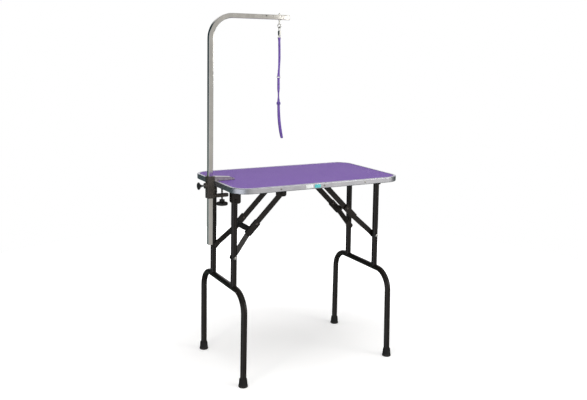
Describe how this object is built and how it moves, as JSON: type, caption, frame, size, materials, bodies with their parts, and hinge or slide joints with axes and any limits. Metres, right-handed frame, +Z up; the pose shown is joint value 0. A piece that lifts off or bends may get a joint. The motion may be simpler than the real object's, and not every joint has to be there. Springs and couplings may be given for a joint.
{
  "type": "folding pet grooming table",
  "caption": "Folding rectangular grooming table with nonslip mat, splayed tube legs on folding braces, clamped L-shaped arm and hanging noose.",
  "frame": {"origin": "on the floor under the middle of the overall outline, without the noose", "axes": "+X along the table top away from the arm, +Y across it to the rear, +Z up"},
  "size_m": [0.8308, 0.475, 1.456],
  "materials": {
    "board": "dark-stained plywood",
    "mat": "pebbled purple vinyl",
    "trim": "satin anodised",
    "trim_rivet": "bright",
    "black_paint": "semi-gloss black powder coat on steel",
    "foot_rubber": "matte black rubber",
    "zinc": "zinc plated",
    "dark_rivet": "blackened",
    "clamp_black": "black hammer finish",
    "jaw_steel": "plated",
    "knob": "moulded black",
    "brass_tip": "turned",
    "chrome_arm": "bright chrome on steel tube",
    "end_cap": "pale moulded",
    "nickel": "nickel plated",
    "webbing": "woven nylon",
    "slider_plastic": "moulded purple"
  },
  "bodies": {
    "root": {"top_board": "board", "top_mat": "mat", "edge_trim": "trim", "trim_rivets": "trim_rivet", "left_hinge_bracket_front": "black_paint", "left_hinge_bracket_rear": "black_paint", "left_brace_bracket_front": "black_paint", "left_brace_bracket_rear": "black_paint", "right_hinge_bracket_front": "black_paint", "right_hinge_bracket_rear": "black_paint", "right_brace_bracket_front": "black_paint", "right_brace_bracket_rear": "black_paint", "bracket_screws": "zinc", "pivot_bolts": "black_paint", "clamp_sleeve": "clamp_black", "clamp_top_jaw": "jaw_steel", "clamp_lower_jaw": "clamp_black", "clamp_bosses": "clamp_black"},
    "left_leg": {"left_upright_front": "black_paint", "left_upright_rear": "black_paint", "left_floor_bow": "black_paint", "left_foot_front": "foot_rubber", "left_foot_rear": "foot_rubber", "left_leg_bolts": "zinc"},
    "left_upper_brace": {"left_upper_link_front": "black_paint", "left_upper_link_rear": "black_paint", "left_knee_bridge": "black_paint", "left_knee_rivets": "dark_rivet"},
    "left_lower_brace": {"left_lower_link_front": "black_paint", "left_lower_link_rear": "black_paint"},
    "right_leg": {"right_upright_front": "black_paint", "right_upright_rear": "black_paint", "right_floor_bow": "black_paint", "right_foot_front": "foot_rubber", "right_foot_rear": "foot_rubber", "right_leg_bolts": "zinc"},
    "right_upper_brace": {"right_upper_link_front": "black_paint", "right_upper_link_rear": "black_paint", "right_knee_bridge": "black_paint", "right_knee_rivets": "dark_rivet"},
    "right_lower_brace": {"right_lower_link_front": "black_paint", "right_lower_link_rear": "black_paint"},
    "clamp_pad": {"clamp_pad": "zinc"},
    "clamp_screw": {"clamp_screw": "zinc", "clamp_knob": "knob"},
    "lock_tip": {"lock_tip": "brass_tip"},
    "lock_screw": {"lock_screw": "zinc", "lock_knob": "knob"},
    "arm": {"arm_tube": "chrome_arm", "arm_end_cap": "end_cap", "eyebolt": "nickel", "eyebolt_nut": "nickel"},
    "snap_hook": {"snap_hook": "nickel"},
    "snap_bolt": {"snap_bolt": "nickel"},
    "noose": {"swivel_eye": "nickel", "noose_leader": "webbing", "noose_loop": "webbing", "noose_ring": "nickel"},
    "noose_slider": {"noose_slider": "slider_plastic"}
  },
  "joints": [
    {"name": "left_leg_fold", "type": "hinge", "parent": "root", "child": "left_leg", "pos_m": [-0.302, 0, 0.736], "axis": [0, -1, 0], "range_deg": [0, 90.78]},
    {"name": "left_brace_upper_fold", "type": "hinge", "parent": "root", "child": "left_upper_brace", "pos_m": [-0.073, 0, 0.736], "axis": [0, 1, 0], "range_deg": [0, 45.11]},
    {"name": "left_brace_knee_fold", "type": "hinge", "parent": "left_upper_brace", "child": "left_lower_brace", "pos_m": [-0.18767, 0, 0.62093], "axis": [0, -1, 0], "range_deg": [0, 180.01]},
    {"name": "right_leg_fold", "type": "hinge", "parent": "root", "child": "right_leg", "pos_m": [0.368, 0, 0.763], "axis": [0, 1, 0], "range_deg": [0, 90.75]},
    {"name": "right_brace_upper_fold", "type": "hinge", "parent": "root", "child": "right_upper_brace", "pos_m": [0.13, 0, 0.763], "axis": [0, -1, 0], "range_deg": [0, 44.99]},
    {"name": "right_brace_knee_fold", "type": "hinge", "parent": "right_upper_brace", "child": "right_lower_brace", "pos_m": [0.24952, 0, 0.64357], "axis": [0, 1, 0], "range_deg": [0, 180.01]},
    {"name": "arm_height", "type": "slide", "parent": "root", "child": "arm", "axis": [0.012, 0, 0.9999], "range_m": [-0.14, 0.18]},
    {"name": "clamp_travel", "type": "slide", "parent": "root", "child": "clamp_pad", "axis": [0, 0, -1], "range_m": [0, 0.025]},
    {"name": "clamp_screw_turn", "type": "hinge", "parent": "clamp_pad", "child": "clamp_screw", "pos_m": [-0.312, -0.006, 0.7215], "axis": [0, 0, 1], "range_deg": [0, 7200]},
    {"name": "lock_travel", "type": "slide", "parent": "root", "child": "lock_tip", "axis": [-0.9999, 0, 0.012], "range_m": [0, 0.005]},
    {"name": "lock_screw_turn", "type": "hinge", "parent": "lock_tip", "child": "lock_screw", "pos_m": [-0.40023, -0.006, 0.78294], "axis": [-0.9999, 0, 0.012], "range_deg": [0, 1440]},
    {"name": "noose_swing", "type": "hinge", "parent": "arm", "child": "snap_hook", "pos_m": [-0.061, -0.006, 1.4075], "axis": [0, 1, 0], "range_deg": [-35, 35]},
    {"name": "snap_trigger", "type": "slide", "parent": "snap_hook", "child": "snap_bolt", "axis": [0, 0, -1], "range_m": [0, 0.006], "stiffness_N_per_m": 200, "springref_m": -0.004},
    {"name": "noose_swivel", "type": "hinge", "parent": "snap_hook", "child": "noose", "pos_m": [-0.061, -0.006, 1.37], "axis": [0, 0, 1], "continuous": true},
    {"name": "slider_travel", "type": "slide", "parent": "noose", "child": "noose_slider", "axis": [0, 0, 1], "range_m": [-0.02, 0.07]}
  ],
  "couplings": [
    {"joint": "left_brace_upper_fold", "follows": "left_leg_fold", "ratio": 0.49682},
    {"joint": "left_brace_knee_fold", "follows": "left_leg_fold", "ratio": 1.9829},
    {"joint": "right_brace_upper_fold", "follows": "right_leg_fold", "ratio": 0.49563},
    {"joint": "right_brace_knee_fold", "follows": "right_leg_fold", "ratio": 1.9835},
    {"joint": "clamp_travel", "follows": "clamp_screw_turn", "m_per_rad": 0.00019894},
    {"joint": "lock_travel", "follows": "lock_screw_turn", "m_per_rad": 0.00019894}
  ]
}
